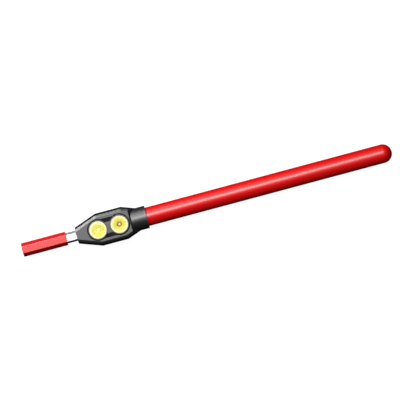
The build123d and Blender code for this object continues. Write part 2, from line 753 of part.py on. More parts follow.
with BuildPart() as hinge_pin:
    cylinder_along_y(-ear_end + touch, ear_end - touch, pin_radius, hinge_x, hinge_z)
save(hinge_pin, "hinge_pin")

with BuildPart() as door_lock:
    cylinder_up(lock_x, 0, 0.15, 1.25, lock_head_radius)
    cylinder_up(lock_x, 0, 1.2, pocket_z - 0.3, lock_shaft_radius)
    with BuildSketch(Plane.XY.offset(wall + loose)):
        with Locations((lock_x, lock_reach / 2 - 1)):
            SlotOverall(lock_reach + 2, 4.6, rotation=90)
    extrude(amount=1.6)
    block((lock_x - 3.4, lock_x + 3.4), (-0.6, 0.6), (0, 0.8), Mode.SUBTRACT)
save(door_lock, "door_lock")

# ---------------------------------------------------------------------------------------------------------
# Buttons: two sprung caps in the back of the nose, over their switch board
# ---------------------------------------------------------------------------------------------------------

button_flange_z = wall + 0.1
stem_radius = 1.7

for name, button_x in button_places:
    with BuildPart() as button:
        cylinder_up(button_x, 0, button_recess, button_flange_z + 1.8, button_radius)
        chamfer(button.edges().group_by(Axis.Z)[0], length=0.5)
        cylinder_up(button_x, 0, button_flange_z, button_flange_z + 1.0, button_radius + 1.2)
        cylinder_up(button_x, 0, button_flange_z + 1.0, switch_board_z - button_travel - 0.1, stem_radius)
        with Locations((button_x, 0, button_recess - 7.0)):
            Sphere(7.6, mode=Mode.SUBTRACT)
    save(button, f"{name}_button")

    with BuildPart() as button_spring:
        seat_z = button_flange_z + 1.8 + touch
        add(coil_spring((button_x, 0, seat_z), (0, 0, 1), 2.6, 0.3, switch_board_z - touch - seat_z, 5))
    save(button_spring, f"{name}_button_spring")

switch_end_x = nose_x + 28.0
switch_board_top = switch_board_z + board_thickness
with BuildPart() as switch_board:
    block((nose_x + wall + 0.5, switch_end_x), (-switch_board_half, switch_board_half),
          (switch_board_z, switch_board_top))
    for x, y in switch_post_places:
        cylinder_up(x, y, switch_board_z, switch_board_top, board_screw_radius + loose, Mode.SUBTRACT)
save(switch_board, "switch_board")

with BuildPart() as switch_board_screws:
    for x, y in switch_post_places:
        screw(x, y, switch_board_top, wall + 2.5, board_screw_radius, board_head_radius, 1.2)
save(switch_board_screws, "switch_board_screws")

with BuildPart() as switch_leads:
    for y in (-2.0, 0, 2.0):
        rise_x = (bar_end_x + bay_x - 1.5) / 2
        low_z = switch_board_z + board_thickness / 2
        high_z = driver_z + board_thickness / 2
        add(
            wire(
                (
                    (switch_end_x + touch, y, low_z),
                    (rise_x, y, low_z),
                    (rise_x, y, high_z),
                    (bay_x - touch, y, high_z),
                ),
                lead_radius,
                2.0,
            )
        )
save(switch_leads, "switch_leads")

# ---------------------------------------------------------------------------------------------------------
# Wand: a domed red tube, held by its flange, with a two-sided lamp board down its middle
# ---------------------------------------------------------------------------------------------------------

tube_x = lip_x + 0.2
dome_x = tip_x - wand_radius
bore_radius = wand_radius - wand_wall
flange_length = 2.0

with BuildPart() as wand_tube:
    cylinder_along_x(tube_x, collar_end_x + loose, spigot_radius)
    cylinder_along_x(collar_end_x + loose, dome_x, wand_radius)
    cylinder_along_x(tube_x, tube_x + flange_length, collar_bore - 0.1)
    with Locations((dome_x, 0, axis_z)):
        Sphere(wand_radius)
    cylinder_along_x(tube_x, dome_x, bore_radius, mode=Mode.SUBTRACT)
    with Locations((dome_x, 0, axis_z)):
        Sphere(bore_radius, mode=Mode.SUBTRACT)
save(wand_tube, "wand_tube")

with BuildPart() as tube_seal:
    cylinder_along_x(tube_x + flange_length + loose, mouth_x - loose, collar_bore - touch)
    cylinder_along_x(tube_x, mouth_x, spigot_radius + touch, mode=Mode.SUBTRACT)
save(tube_seal, "tube_seal")

wand_board_x = lip_x - 1.7
wand_board_end = dome_x - 8.0
wand_board_width = 14.0
led_pitch = 25.0
led_count = int((wand_board_end - collar_end_x - 12.0) // led_pitch)


def board_slot(start, end):
    """Slot for the wand board through a disc."""
    half_y, half_z = wand_board_width / 2 + touch, board_thickness / 2 + touch
    block((start, end), (-half_y, half_y), (axis_z - half_z, axis_z + half_z), Mode.SUBTRACT)


with BuildPart() as base_plug:
    cylinder_along_x(tube_x, tube_x + 8.0, bore_radius - touch)
    board_slot(tube_x, tube_x + 8.0)
    with BuildSketch(Plane.YZ.offset(tube_x)):
        with Locations((0, axis_z + 9.5), (0, axis_z - 9.5)):
            SlotOverall(16.0, 5.0)
    extrude(amount=5.0, mode=Mode.SUBTRACT)
save(base_plug, "base_plug")

with BuildPart() as wand_board:
    block((wand_board_x, wand_board_end), (-wand_board_width / 2, wand_board_width / 2),
          (axis_z - board_thickness / 2, axis_z + board_thickness / 2))
save(wand_board, "wand_board")

for label, side in (("wand_leds_front", 1), ("wand_leds_back", -1)):
    with BuildPart() as led_row:
        near = axis_z + side * board_thickness / 2
        far = near + side * 1.4
        for k in range(led_count):
            led_x = collar_end_x + 10.0 + k * led_pitch
            block((led_x, led_x + 5.0), (-2.5, 2.5), sorted((near, far)))
            low, high = sorted((far, far + side * 0.5))
            cylinder_up(led_x + 2.5, 0, low, high, 1.9)
    save(led_row, label)

with BuildPart() as wand_spacers:
    for k in range(4):
        spacer_x = collar_end_x + 10.0 - 7.5 + led_pitch * round((k + 1) * led_count / 5)
        cylinder_along_x(spacer_x, spacer_x + 2.5, bore_radius - touch)
        board_slot(spacer_x, spacer_x + 2.5)
        with BuildSketch(Plane.YZ.offset(spacer_x)):
            with Locations((0, axis_z)):
                with PolarLocations(0.6 * bore_radius, 4, start_angle=90):
                    SlotOverall(9.0, 5.5, rotation=90)
        extrude(amount=2.5, mode=Mode.SUBTRACT)
save(wand_spacers, "wand_spacers")

with BuildPart() as tip_buffer:
    cylinder_along_x(wand_board_end - 5.0, dome_x - 1.0, bore_radius - loose)
    board_slot(wand_board_end - 5.0, wand_board_end + touch)
save(tip_buffer, "tip_buffer")

with BuildPart() as wand_leads:
    for side in (1, -1):
        y = side * 4.0
        high_z = driver_z + board_thickness / 2
        add(
            wire(
                (
                    (driver_end_x + touch, y, high_z),
                    (driver_end_x + 3.0, y, high_z),
                    (wand_board_x - 2.5, y, axis_z),
                    (wand_board_x - touch, y, axis_z),
                ),
                lead_radius,
                2.0,
            )
        )
save(wand_leads, "wand_leads")
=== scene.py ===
"""Looks of a traffic baton light: red light wand, black two-lamp housing, bare bar and red hexagonal grip.

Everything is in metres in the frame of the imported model: +X along the baton to the wand's tip, +Z out of
the lamps, z = 0 the plane that the flat back rests on.
"""

import json
import math

import bmesh
import bpy
from mathutils import Matrix, Vector


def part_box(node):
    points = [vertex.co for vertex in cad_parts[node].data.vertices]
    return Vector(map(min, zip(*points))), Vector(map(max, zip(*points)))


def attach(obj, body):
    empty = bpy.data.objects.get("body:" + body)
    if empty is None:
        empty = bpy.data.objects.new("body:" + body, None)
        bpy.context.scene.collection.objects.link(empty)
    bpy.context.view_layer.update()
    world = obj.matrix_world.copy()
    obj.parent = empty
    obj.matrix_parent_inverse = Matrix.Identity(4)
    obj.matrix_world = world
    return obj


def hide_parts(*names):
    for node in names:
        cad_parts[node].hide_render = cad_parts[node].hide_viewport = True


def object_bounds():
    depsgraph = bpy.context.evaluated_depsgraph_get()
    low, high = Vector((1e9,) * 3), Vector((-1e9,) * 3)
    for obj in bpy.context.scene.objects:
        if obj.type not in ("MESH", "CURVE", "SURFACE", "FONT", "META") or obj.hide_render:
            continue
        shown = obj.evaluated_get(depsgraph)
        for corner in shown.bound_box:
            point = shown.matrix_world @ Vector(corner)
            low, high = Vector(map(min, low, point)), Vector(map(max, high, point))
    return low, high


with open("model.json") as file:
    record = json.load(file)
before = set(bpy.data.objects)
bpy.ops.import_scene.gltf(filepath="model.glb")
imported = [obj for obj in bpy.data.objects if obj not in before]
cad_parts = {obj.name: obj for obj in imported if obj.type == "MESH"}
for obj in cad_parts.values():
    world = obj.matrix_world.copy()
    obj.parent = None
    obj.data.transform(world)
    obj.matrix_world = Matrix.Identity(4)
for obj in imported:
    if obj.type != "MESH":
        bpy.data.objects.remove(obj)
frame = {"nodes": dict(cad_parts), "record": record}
cad_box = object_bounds()

# ---- Camera --------------------------------------------------------------------------------------------
# A long lens straight above the lamps, so that the baton shows almost without perspective. The baton
# lies on its back and rises to the right across the frame.

LENS = 250.0
SENSOR = 36.0
FRAME_WIDTH = 0.842  # how much the frame spans at the baton's plane
PLANE_HEIGHT = 0.6  # of that plane, as a share of the housing's height
TILT = math.radians(15.0)  # of the baton in the frame
RIGHT_OF_MIDDLE, BELOW_MIDDLE = 0.015, 0.0015  # of the baton's middle from the frame's

camera_data = bpy.data.cameras.new("camera")
camera_data.lens = LENS
camera_data.sensor_width = SENSOR
camera = bpy.data.objects.new("camera", camera_data)
bpy.context.scene.collection.objects.link(camera)
bpy.context.scene.camera = camera
camera_height = FRAME_WIDTH * LENS / SENSOR + cad_box[1].z * PLANE_HEIGHT
camera.rotation_euler = (0, 0, -TILT)
camera.location = Vector((-RIGHT_OF_MIDDLE, BELOW_MIDDLE, camera_height))
camera.location.xy = Matrix.Rotation(-TILT, 2) @ camera.location.xy

# ---- Studio --------------------------------------------------------------------------------------------
# A pale floor and five softboxes along the baton: the key high behind it, the rear light lower and toward
# the nose, and three weak ones that only lift the shadows. The floor throws no light back, so the baton's
# near side stays dark.


def srgb(code, alpha=1.0):
    """Linear colour from an sRGB hex code."""
    channels = [int(code[i : i + 2], 16) / 255 for i in (1, 3, 5)]
    return (*(c / 12.92 if c <= 0.04045 else ((c + 0.055) / 1.055) ** 2.4 for c in channels), alpha)


def add_node(tree, kind, feeds=None, **settings):
    """Adds a shader node; feeds sets each named input to a value or links a socket to it."""
    made = tree.nodes.new(kind)
    for name, value in settings.items():
        setattr(made, name, value)
    for name, value in (feeds or {}).items():
        if isinstance(value, bpy.types.NodeSocket):
            tree.links.new(value, made.inputs[name])
        else:
            made.inputs[name].default_value = value
    return made


def new_material(name, **shader):
    """Starts a node material, sets its shader's own sockets, and returns it with its tree and shader."""
    material = bpy.data.materials.new(name)
    material.use_nodes = True
    tree = material.node_tree
    surface = tree.nodes["Principled BSDF"]
    for socket, value in shader.items():
        surface.inputs[socket.replace("_", " ")].default_value = value
    return material, tree, surface


def link_object(name, data):
    """Puts new object data into the scene."""
    made = bpy.data.objects.new(name, data)
    bpy.context.scene.collection.objects.link(made)
    return made


FLOOR_HALF = 30.0  # of the floor's side
floor_mesh = bmesh.new()
bmesh.ops.create_grid(floor_mesh, x_segments=1, y_segments=1, size=FLOOR_HALF)
floor_data = bpy.data.meshes.new("floor")
floor_mesh.to_mesh(floor_data)
floor_mesh.free()
floor = link_object("floor", floor_data)
floor.visible_diffuse = False
floor.visible_glossy = False
floor.visible_transmission = False
paper, _, _ = new_material(
    "matt white backdrop paper",
    Base_Color=srgb("#707070"),
    Roughness=0.9,
    Emission_Color=srgb("#ffffff"),
    Emission_Strength=0.97,
)
floor_data.materials.append(paper)

SOFTBOXES = {
    # name: (distance, degrees above the horizon, side, place along the baton, length, width, radiance)
    "key": (2.3, 70.0, 1, -0.45, 2.4, 0.50, 16.4),
    "top": (2.6, 90.0, 1, -0.45, 2.4, 0.90, 0.12),
    "rear": (2.3, 34.0, 1, -1.25, 1.4, 0.45, 29.0),
    "low rear": (2.6, 6.0, 1, -0.45, 2.4, 0.50, 0.08),
    "front": (2.6, 24.0, -1, -0.45, 2.4, 0.50, 0.12),
}
for name, (distance, height, side, place, along, across, radiance) in SOFTBOXES.items():
    light = bpy.data.lights.new(name, "AREA")
    light.shape = "RECTANGLE"
    light.size, light.size_y = along, across
    light.energy = radiance * math.pi * along * across
    softbox = link_object(name, light)
    softbox.visible_camera = False
    rise = math.radians(height)
    softbox.location = (place, side * distance * math.cos(rise), distance * math.sin(rise))
    softbox.rotation_euler = (side * (rise - math.pi / 2), 0, 0)

ROOM = srgb("#0d0d0d")  # what the baton reflects between the softboxes
BACKDROP = srgb("#fbfbfb")  # what the camera sees past the floor
world = bpy.data.worlds.new("studio")
bpy.context.scene.world = world
world.use_nodes = True
sky = world.node_tree
path = add_node(sky, "ShaderNodeLightPath")
backdrop = add_node(
    sky,
    "ShaderNodeMix",
    {"Factor": path.outputs["Is Camera Ray"], "A": ROOM, "B": BACKDROP},
    data_type="RGBA",
)
sky.links.new(backdrop.outputs["Result"], sky.nodes["Background"].inputs["Color"])
bpy.context.scene.view_settings.view_transform = "Standard"

# ---- Light wand ----------------------------------------------------------------------------------------
# Extruded tube of clear red polycarbonate, 1.5 mm thick, its end blown to a dome, with a turned-down
# spigot clamped in the collar. Polycarbonate is glossy, with a broad soft highlight, and slight draw lines
# run along it from the extrusion, drawn wider than real ones so that they show.

MM = 0.001
SAME_POINT = 0.001 * MM  # closer points are one
AROUND = 96  # faces round a turned piece
DOME_STEPS = 24
TUBE_WALL = 1.5 * MM
SPIGOT_STEP = 0.5 * MM  # how far the spigot is turned down
FLANGE_LENGTH = 2.0 * MM  # of the flange at the spigot's foot, which the shells hold
COLLAR_GAP = 0.2 * MM
MOUTH_LENGTH, MOUTH_DROP = 0.3 * MM, 0.15 * MM  # chamfer of the wand's edge at the collar
RING_INSET = 1.0 * MM  # of the extra rings that keep the long wall's shading level to its ends
wand_clip = frame["record"]["mounts"][1]
axis_z = wand_clip["pos_m"][2]
wand_radius = wand_clip["dims"]["r_mm"] * MM
tube_low, tube_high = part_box("wand_tube")
collar_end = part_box("front_shell")[1].x


def arc(centre, radius, start, end, steps):
    """Points along an arc in a profile's plane, from one angle to another, in degrees."""
    turns = [math.radians(start + (end - start) * k / steps) for k in range(steps + 1)]
    return [(centre[0] + radius * math.cos(t), centre[1] + radius * math.sin(t)) for t in turns]


def turned(profile, place, closed=True, around=AROUND):
    """Mesh spun from a profile; place turns a point of the profile into one in space."""
    shape = bmesh.new()
    points = [shape.verts.new(place(*point)) for point in profile]
    ends = zip(points, points[1:] + points[:1] if closed else points[1:])
    edges = [shape.edges.new(pair) for pair in ends]
    origin = place(0, 0)
    bmesh.ops.spin(
        shape,
        geom=points + edges,
        cent=origin,
        axis=(place(1, 0) - origin).normalized(),
        angle=math.tau,
        steps=around,
        use_merge=True,
    )
    bmesh.ops.remove_doubles(shape, verts=shape.verts, dist=SAME_POINT)
    bmesh.ops.recalc_face_normals(shape, faces=shape.faces)
    return shape


def make_piece(name, shape, body, replaces=(), sharp=35.0):
    """Turns a finished bmesh into a piece of the object that rides on a body, and hides the nodes it
    replaces.
    """
    data = bpy.data.meshes.new(name)
    shape.to_mesh(data)
    shape.free()
    data.polygons.foreach_set("use_smooth", [True] * len(data.polygons))
    data.set_sharp_from_angle(angle=math.radians(sharp))
    made = link_object(name, data)
    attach(made, body)
    if replaces:
        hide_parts(*replaces)
    return made


def along_baton(x, r):
    """Point of a profile whose first number runs along the baton and whose second is the radius."""
    return Vector((x, r, axis_z))


PATCHES_PER_METRE = 22.0  # colour and gloss drift in patches about 45 mm wide
GLOSS_DRIFT = 0.15
WORN_WIDTH = 0.7 * MM
WEAR_STARTS, WEAR_FULL = 0.995, 0.93  # cosine of the turn from the true normal to the rounded edge's
WEAR = 0.55  # how far a worn edge goes to the paler colour


def plastic(name, colour, drift, roughness, grain_mm, depth_mm, worn=None, stretch=(1, 1, 1), **shader):
    """Moulded plastic: a colour that drifts a little, uneven gloss, a fine grain, and paler worn edges."""
    material, tree, surface = new_material(name, **shader)
    place = add_node(tree, "ShaderNodeTexCoord").outputs["Object"]
    drawn = add_node(tree, "ShaderNodeMapping", {"Vector": place, "Scale": stretch}).outputs["Vector"]
    patches = add_node(
        tree, "ShaderNodeTexNoise", {"Vector": drawn, "Scale": PATCHES_PER_METRE, "Detail": 4.0}
    ).outputs["Fac"]
    tint = add_node(
        tree,
        "ShaderNodeMix",
        {"Factor": patches, "A": srgb(colour), "B": srgb(drift)},
        data_type="RGBA",
    ).outputs["Result"]
    gloss = add_node(
        tree,
        "ShaderNodeMapRange",
        {
            "Value": patches,
            "To Min": roughness * (1 - GLOSS_DRIFT),
            "To Max": roughness * (1 + GLOSS_DRIFT),
        },
    ).outputs["Result"]
    if worn:
        rounded = add_node(tree, "ShaderNodeBevel", {"Radius": WORN_WIDTH}, samples=4).outputs["Normal"]
        true = add_node(tree, "ShaderNodeNewGeometry").outputs["Normal"]
        turn = add_node(tree, "ShaderNodeVectorMath", {0: rounded, 1: true}, operation="DOT_PRODUCT")
        edge = add_node(
            tree,
            "ShaderNodeMapRange",
            {
                "Value": turn.outputs["Value"],
                "From Min": WEAR_STARTS,
                "From Max": WEAR_FULL,
                "To Max": WEAR,
            },
        ).outputs["Result"]
        tint = add_node(
            tree, "ShaderNodeMix", {"Factor": edge, "A": tint, "B": srgb(worn)}, data_type="RGBA"
        ).outputs["Result"]
    grain = add_node(
        tree, "ShaderNodeTexNoise", {"Vector": drawn, "Scale": 1 / (grain_mm * MM), "Detail": 3.0}
    ).outputs["Fac"]
    bump = add_node(
        tree, "ShaderNodeBump", {"Height": grain, "Strength": 1.0, "Distance": depth_mm * MM}
    ).outputs["Normal"]
    tree.links.new(tint, surface.inputs["Base Color"])
    tree.links.new(gloss, surface.inputs["Roughness"])
    tree.links.new(bump, surface.inputs["Normal"])
    return material


dome_x = tube_high.x - wand_radius
spigot_end = collar_end + COLLAR_GAP
spigot_radius = wand_radius - SPIGOT_STEP
inner_radius = wand_radius - TUBE_WALL
flange_end = tube_low.x + FLANGE_LENGTH
flange_radius = (tube_high.y - tube_low.y) / 2
tube_profile = [
    *arc((dome_x, 0), wand_radius, 0, 90, DOME_STEPS),
    (dome_x - RING_INSET, wand_radius),
    (spigot_end + RING_INSET, wand_radius),
    (spigot_end + MOUTH_LENGTH, wand_radius),
    (spigot_end, wand_radius - MOUTH_DROP),
    (spigot_end, spigot_radius),
    (flange_end, spigot_radius),
    (flange_end, flange_radius),
    (tube_low.x, flange_radius),
    (tube_low.x, inner_radius),
    *arc((dome_x, 0), inner_radius, 90, 0, DOME_STEPS),
]
wand_shape = turned(tube_profile, along_baton, closed=False)
wand = make_piece("wand_tube_drawn", wand_shape, "housing", ["wand_tube"])
polycarbonate = plastic(
    "red polycarbonate, extruded",
    "#d80004",
    "#ce0003",
    roughness=0.36,
    grain_mm=1.4,
    depth_mm=0.006,
    stretch=(0.06, 1, 1),
    IOR=1.586,
    Specular_IOR_Level=0.66,
)
wand.data.materials.append(polycarbonate)

# ---- Lamp housing --------------------------------------------------------------------------------------
# Two shells screwed together and a hinged battery door, all injection-moulded in black ABS. Spark-eroded
# tools give ABS a satin grain that scatters light to a mid grey, drawn coarser than real so that it shows,
# and handling polishes and pales its edges.

abs_black = plastic(
    "black ABS, spark-eroded",
    "#141416",
    "#101012",
    roughness=0.46,
    grain_mm=0.5,
    depth_mm=0.03,
    worn="#5c5c60",
    IOR=1.54,
    Specular_IOR_Level=1.0,
    Coat_Weight=0.4,
    Coat_Roughness=0.46,
)


def refinish(names, material):
    """Gives carried-over nodes a better material."""
    for name in names:
        slots = frame["nodes"][name].data.materials
        slots.clear()
        slots.append(material)


refinish(["front_shell", "back_shell", "battery_door"], abs_black)

# ---- Seals ---------------------------------------------------------------------------------------------
# Gasket between the shells, lens seals, door seal, tube seal and the buffer in the wand's tip, cut or
# moulded in EPDM rubber. Cured rubber is matt, nearly black and slightly grainy.

# The same black rubber also serves as painted shade round the lamps, further on.
epdm_and_painted_shade = plastic(
    "EPDM rubber, moulded",
    "#101010",
    "#161616",
    roughness=0.85,
    grain_mm=0.8,
    depth_mm=0.04,
    IOR=1.5,
    Specular_IOR_Level=0.2,
)
refinish(["shell_seal", "flood_seal", "spot_seal", "door_seal", "tube_seal", "tip_buffer"], epdm_and_painted_shade)

# ---- Painted shade round the lamps ---------------------------------------------------------------------
# A ring of black EPDM lies on each bezel's flange, sunk below the housing's face. It is painted shade: a
# dark ring set where the groove round the lamp lies in shade. Cut rubber is matt, and reads as a dark line
# round the lamp.

RECESS_DEPTH = 2.0 * MM
SHADE_RING_DEPTH = 1.0 * MM  # of its top below the housing's face
SHADE_RING_SHEET = 0.38 * MM  # its thickness
SHADE_RING_INNER = 20.5 * MM
SHADE_RING_CHAMFER = 0.2 * MM
face_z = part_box("front_shell")[1].z
recess_floor = face_z - RECESS_DEPTH
shade_ring_top = face_z - SHADE_RING_DEPTH
shade_ring_low = shade_ring_top - SHADE_RING_SHEET
lamp_parts = {}
for lamp in ("flood", "spot"):
    low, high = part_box(f"{lamp}_bezel")
    middle = (low + high) / 2
    lamp_parts[lamp] = {
        "centre": Vector((middle.x, middle.y, 0)),
        "rim": (high.y - low.y) / 2,
        "bezel": (low.z, high.z),
    }


def above(lamp):
    """Placer for a profile whose points are a height and a distance from the lamp's axis."""
    centre = lamp_parts[lamp]["centre"]
    return lambda z, r: Vector((centre.x + r, centre.y, z))


for lamp, sizes in lamp_parts.items():
    outer = sizes["rim"]
    shade_ring_profile = [
        (shade_ring_low, SHADE_RING_INNER),
        (shade_ring_top, SHADE_RING_INNER),
        (shade_ring_top, outer - SHADE_RING_CHAMFER),
        (shade_ring_top - SHADE_RING_CHAMFER, outer),
        (shade_ring_low, outer),
    ]
    # painted shade: this black ring stands where the groove round the lamp lies in shade
    painted_shade_ring = make_piece(f"{lamp}_gasket", turned(shade_ring_profile, above(lamp)), "housing")
    painted_shade_ring.data.materials.append(epdm_and_painted_shade)

# Bridge: a moulded ABS bar, glued over the shade rings, carries the shell's face on between the lamps. The
# rings' black sheet fills the two corners beside it, lower down, as painted shade. Both are cut to the
# bezels' curve.

BRIDGE_END, SHADE_CORNER_END = 11.8 * MM, 20.6 * MM  # how far they reach from the baton's axis
BRIDGE_THICKNESS = 0.98 * MM
SHADE_CORNER_DEPTH = 1.3 * MM  # of a corner's top below the housing's face
CUT_GAP = 0.1 * MM
CUT_STEPS = 12
SIDE_DROP, SIDE_INSET = 0.15 * MM, 0.1 * MM  # chamfer of the long sides' top edges
flood_x, spot_x = (lamp_parts[lamp]["centre"].x for lamp in ("flood", "spot"))


def between_lamps(start, end, low_z, top_z, reach):
    """Bar across the baton between the lamps, its long sides following circles of this reach round them."""
    middle_x = (flood_x + spot_x) / 2

    def place(x_side, z, k):
        y = start + (end - start) * k / CUT_STEPS
        half = (spot_x - flood_x) / 2 - math.sqrt(reach**2 - y**2)
        return Vector((middle_x + x_side * (half - (SIDE_INSET if z == top_z else 0)), y, z))

    shape = bmesh.new()
    heights = (low_z, top_z - SIDE_DROP, top_z)
    corners = [(-1, z) for z in heights] + [(1, z) for z in reversed(heights)]
    loop = [shape.verts.new(place(*corner, 0)) for corner in corners]
    shape.faces.new(loop)
    for k in range(1, CUT_STEPS + 1):
        edges = [shape.edges.get(pair) for pair in zip(loop, loop[1:] + loop[:1])]
        drawn = bmesh.ops.extrude_edge_only(shape, edges=edges)["geom"]
        fresh = [v for v in drawn if isinstance(v, bmesh.types.BMVert)]
        loop = [min(fresh, key=lambda v: (v.co - vertex.co).length) for vertex in loop]
        for vertex, corner in zip(loop, corners):
            vertex.co = place(*corner, k)
    bmesh.ops.contextual_create(shape, geom=loop)
    bmesh.ops.recalc_face_normals(shape, faces=shape.faces)
    return shape


bridge_low = face_z - BRIDGE_THICKNESS
bridge_shape = between_lamps(-BRIDGE_END, BRIDGE_END, bridge_low, face_z, SHADE_RING_INNER + CUT_GAP)
bridge = make_piece("lamp_bridge", bridge_shape, "housing")
bridge.data.materials.append(abs_black)
# painted shade: these black rubber sheets fill the corners beside the bridge, where shade lies between the
# bezels
for name, start, end in (("rear", BRIDGE_END, SHADE_CORNER_END), ("front", -SHADE_CORNER_END, -BRIDGE_END)):
    shade_corner_reach = lamp_parts["flood"]["rim"] + CUT_GAP
    shade_corner_shape = between_lamps(start, end, recess_floor, face_z - SHADE_CORNER_DEPTH, shade_corner_reach)
    corner = make_piece(f"painted_shade_corner_{name}", shade_corner_shape, "housing")
    corner.data.materials.append(epdm_and_painted_shade)

# ---- Lamps ---------------------------------------------------------------------------------------------
# Two lamps of one size stand side by side: a flood with a ribbed lens next to the nose, and a spot with a
# clear lens next to the wand. Bezel, lens, reflector and emitter are stacked on each lamp's own axis.

# Bezels: rings moulded in dark grey ABS, pressed over the lens with their skirts in the shell. The lip
# stands proud of the housing with both its edges rounded, and the flange under the painted shade ring is
# stepped down. A polished tool leaves the ABS smooth, with an even soft shine.

LIP_ROUND = 0.4 * MM
LIP_STEPS = 5
LIP_GAP = 0.1 * MM  # to the painted shade ring
LIP_OVERLAP = 1.9 * MM  # of the lip over the lens
FLANGE_DEPTH = 1.4 * MM  # of the flange's top below the housing's face
SKIRT_REACH = 1.4 * MM  # of the skirt's outer wall past the lens
LENS_GAP = 0.2 * MM
LENS_RIM = 2.0 * MM  # thickness of a lens where the bezel holds it
LIP_CLEARANCE = 0.05 * MM  # of the lip above the lens
abs_grey = plastic(
    "dark grey ABS, polished tool",
    "#55555a",
    "#4b4b50",
    roughness=0.30,
    grain_mm=0.7,
    depth_mm=0.012,
    worn="#9a9aa0",
    IOR=1.54,
)
for lamp, sizes in lamp_parts.items():
    seat, top = sizes["bezel"]
    lens_low, lens_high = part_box(f"{lamp}_lens")
    lens_radius = (lens_high.y - lens_low.y) / 2
    lip_inner = lens_radius - LIP_OVERLAP
    lip_outer = SHADE_RING_INNER - LIP_GAP
    lip_low = lens_low.z + LENS_RIM + LIP_CLEARANCE
    flange_top = face_z - FLANGE_DEPTH
    skirt = lens_radius + SKIRT_REACH
    ring_profile = [
        (lip_low, lip_inner),
        (top - LIP_ROUND, lip_inner),
        *arc((top - LIP_ROUND, lip_inner + LIP_ROUND), LIP_ROUND, 270, 360, LIP_STEPS),
        *arc((top - LIP_ROUND, lip_outer - LIP_ROUND), LIP_ROUND, 0, 90, LIP_STEPS),
        (flange_top, lip_outer),
        (flange_top, sizes["rim"]),
        (recess_floor, sizes["rim"]),
        (recess_floor, skirt),
        (seat, skirt),
        (seat, lens_radius + LENS_GAP),
        (lip_low, lens_radius + LENS_GAP),
    ]
    ring_shape = turned(ring_profile, above(lamp))
    ring = make_piece(f"{lamp}_bezel_ring", ring_shape, "housing", [f"{lamp}_bezel"])
    ring.data.materials.append(abs_grey)

# Reflectors: bowls moulded in heat-proof plastic and vacuum-metallised over a fine texture, which gives a
# bright, blurred mirror. Lit, the bowl fills with the emitter's yellow, palest at the rim where the light
# leaves it.

GLOW_PATCHES = 260.0  # to a metre: the light wavers in patches about 4 mm wide
GLOW_DRIFT = 0.30  # how far they shift it in or out, as a share of the bowl's radius


def lit_bowl(name, centre, rim, stops, strength):
    """Metallised plastic lit by its own emitter: colours from the axis to the rim, as rings about it."""
    material, tree, surface = new_material(name, Metallic=1.0, Roughness=0.5)
    place = add_node(tree, "ShaderNodeTexCoord").outputs["Object"]
    local = add_node(
        tree, "ShaderNodeMapping", {"Vector": place, "Location": -centre, "Scale": (1, 1, 0)}
    ).outputs["Vector"]
    reach = add_node(tree, "ShaderNodeVectorMath", {0: local}, operation="LENGTH").outputs["Value"]
    share = add_node(tree, "ShaderNodeMapRange", {"Value": reach, "From Max": rim}).outputs["Result"]
    wobble = add_node(
        tree, "ShaderNodeTexNoise", {"Vector": local, "Scale": GLOW_PATCHES, "Detail": 2.0}
    ).outputs["Fac"]
    uneven = add_node(
        tree, "ShaderNodeMath", {0: wobble, 1: GLOW_DRIFT, 2: -GLOW_DRIFT / 2}, operation="MULTIPLY_ADD"
    ).outputs["Value"]
    spread = add_node(tree, "ShaderNodeMath", {0: share, 1: uneven}, operation="ADD").outputs["Value"]
    ramp = add_node(tree, "ShaderNodeValToRGB", {"Fac": spread})
    for element, (position, colour) in zip(ramp.color_ramp.elements, (stops[0], stops[-1])):
        element.position, element.color = position, srgb(colour)
    for position, colour in stops[1:-1]:
        ramp.color_ramp.elements.new(position).color = srgb(colour)
    tree.links.new(ramp.outputs["Color"], surface.inputs["Emission Color"])
    surface.inputs["Emission Strength"].default_value = strength
    surface.inputs["Base Color"].default_value = srgb("#9c9858")
    return material


BOWL_LIGHT = {
    # lamp: (share of the bowl's radius, colour there), from its middle to its rim
    "flood": (
        (0.20, "#d8d618"),
        (0.34, "#d2cc28"),
        (0.44, "#dad81c"),
        (0.56, "#d6ce34"),
        (0.66, "#d6d420"),
        (0.76, "#f0ec90"),
        (0.86, "#fdfae8"),
    ),
    "spot": (
        (0.24, "#8a7418"),
        (0.31, "#ccc048"),
        (0.44, "#eae272"),
        (0.58, "#e2da60"),
        (0.68, "#ece478"),
        (0.80, "#f8f4d0"),
    ),
}
BOWL_WALL = 1.0 * MM
BOWL_BASE = 4.6 * MM  # radius of the opening round the emitter
BOWL_LIFT = 0.95 * MM  # of the curve's start above the foot
BOWL_HEEL = 0.4 * MM  # of the outer wall's foot below that
SEAT_WIDTH = 1.2 * MM  # of the flange round the bowl
SEAT_DROP = 0.3 * MM  # of that flange, to clear the lens seal
BOWL_STEPS = 16
